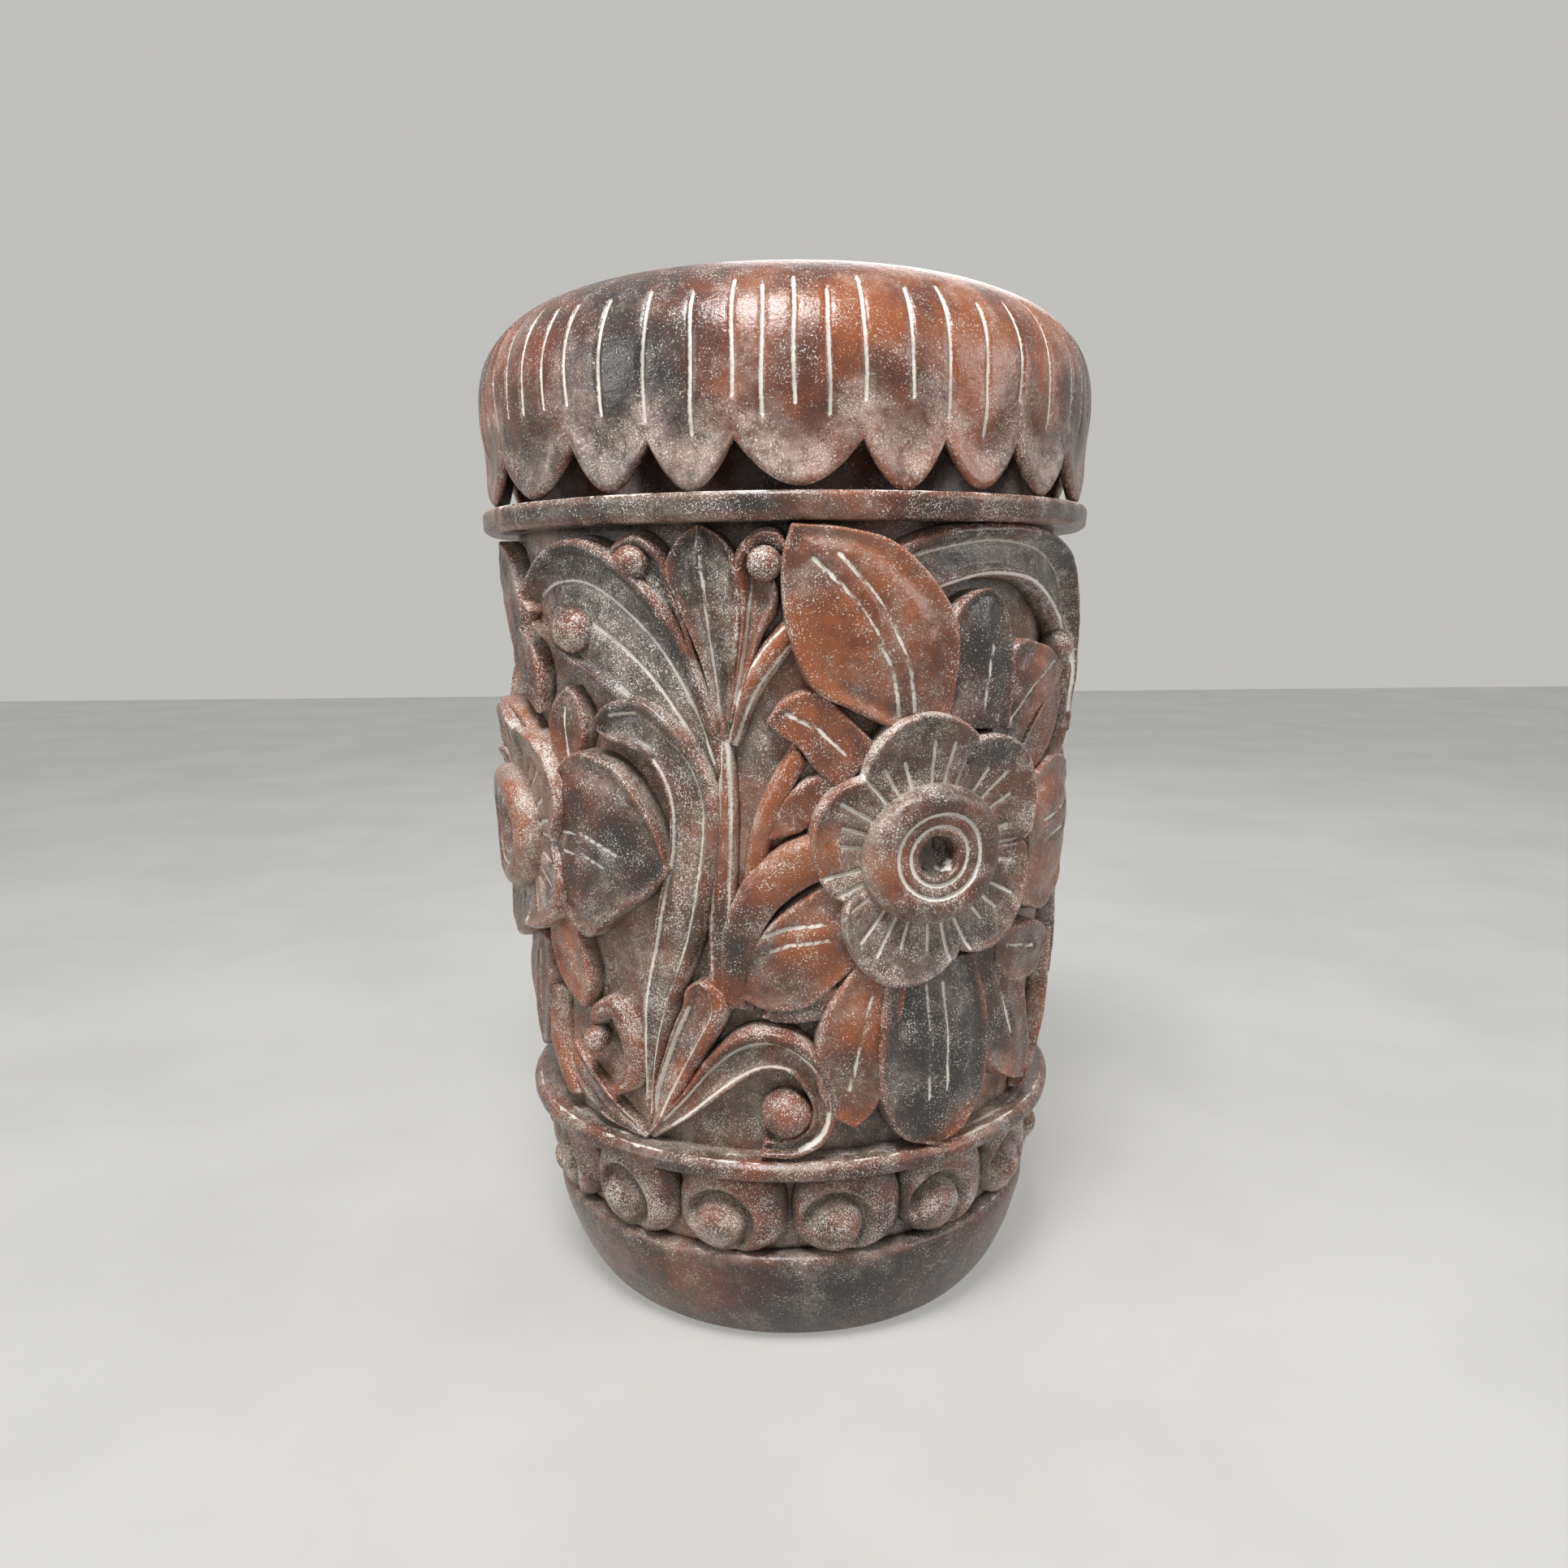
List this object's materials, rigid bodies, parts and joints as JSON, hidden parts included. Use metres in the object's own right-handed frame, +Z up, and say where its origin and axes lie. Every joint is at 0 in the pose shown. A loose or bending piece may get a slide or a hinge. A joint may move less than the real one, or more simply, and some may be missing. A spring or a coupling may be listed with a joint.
{
  "type": "flower pot",
  "caption": "Tall round terracotta floor pot with a domed petal collar, carved flowers, leaves and scrolls round its drum, a running scroll frieze and a drained bowl foot",
  "frame": {"origin": "centre of the foot's underside, on the floor", "axes": "+Z up the pot's axis, -Y to the front with the orange leaf and the flower to its right, +X to the right"},
  "size_m": [0.3529, 0.353, 0.5646],
  "materials": {
    "wall_clay": "smoke-fired terracotta, dark brown with a pale wash in its hollows, matt",
    "foot_clay": "smoke-fired terracotta, red-brown with dark clouds, burnished satin",
    "ring_clay": "smoke-fired terracotta, red-brown with a pale dusty edge, satin",
    "collar_clay": "smoke-fired terracotta, orange-brown with charcoal clouds and pale cut lines, burnished satin",
    "frieze_clay": "smoke-fired terracotta, brown with pale speckle, satin",
    "flower_clay": "smoke-fired terracotta, brown with pale cut lines and speckle, satin",
    "leaf_clay": "smoke-fired terracotta, orange-brown to charcoal with pale speckle, satin",
    "scroll_clay": "smoke-fired terracotta, brown and charcoal with pale speckle, satin"
  },
  "bodies": {
    "root": {"arm_inner": "scroll_clay", "arm_left": "scroll_clay", "arm_right": "scroll_clay", "band_ring": "ring_clay", "bud_arm_left": "scroll_clay", "bud_arm_right": "scroll_clay", "bud_curl_left": "scroll_clay", "bud_curl_right": "scroll_clay", "bud_scroll_low": "scroll_clay", "bud_tendril": "scroll_clay", "drum_wall": "wall_clay", "fan_curl_left": "scroll_clay", "fan_curl_right": "scroll_clay", "fan_leaf": "scroll_clay", "flower_boss_left": "flower_clay", "flower_boss_right": "flower_clay", "flower_petals_left": "flower_clay", "flower_petals_right": "flower_clay", "foot": "foot_clay", "frieze_buds": "frieze_clay", "frieze_scrolls": "frieze_clay", "leaf_bottom": "leaf_clay", "leaf_bottom_left": "leaf_clay", "leaf_east_small": "leaf_clay", "leaf_far_lower": "leaf_clay", "leaf_far_upper": "leaf_clay", "leaf_left": "leaf_clay", "leaf_lower_left": "leaf_clay", "leaf_lower_right": "leaf_clay", "leaf_right": "leaf_clay", "leaf_right_middle": "leaf_clay", "leaf_right_upper": "leaf_clay", "leaf_small": "leaf_clay", "leaf_top": "leaf_clay", "leaf_upper_right": "leaf_clay", "leaf_west": "leaf_clay", "leaf_west_bottom": "leaf_clay", "leaf_west_lower": "leaf_clay", "leaf_west_narrow": "leaf_clay", "leaf_west_small": "leaf_clay", "leaf_west_top": "leaf_clay", "leaf_west_upper": "leaf_clay", "ledge_ring": "ring_clay", "loop_low": "scroll_clay", "petal_collar": "collar_clay", "scroll_east": "scroll_clay", "scroll_low": "scroll_clay", "spine": "scroll_clay", "stem_bar": "scroll_clay", "stem_middle": "scroll_clay", "stem_upper": "scroll_clay", "stem_west": "scroll_clay", "tendril_low": "scroll_clay"}
  },
  "joints": []
}
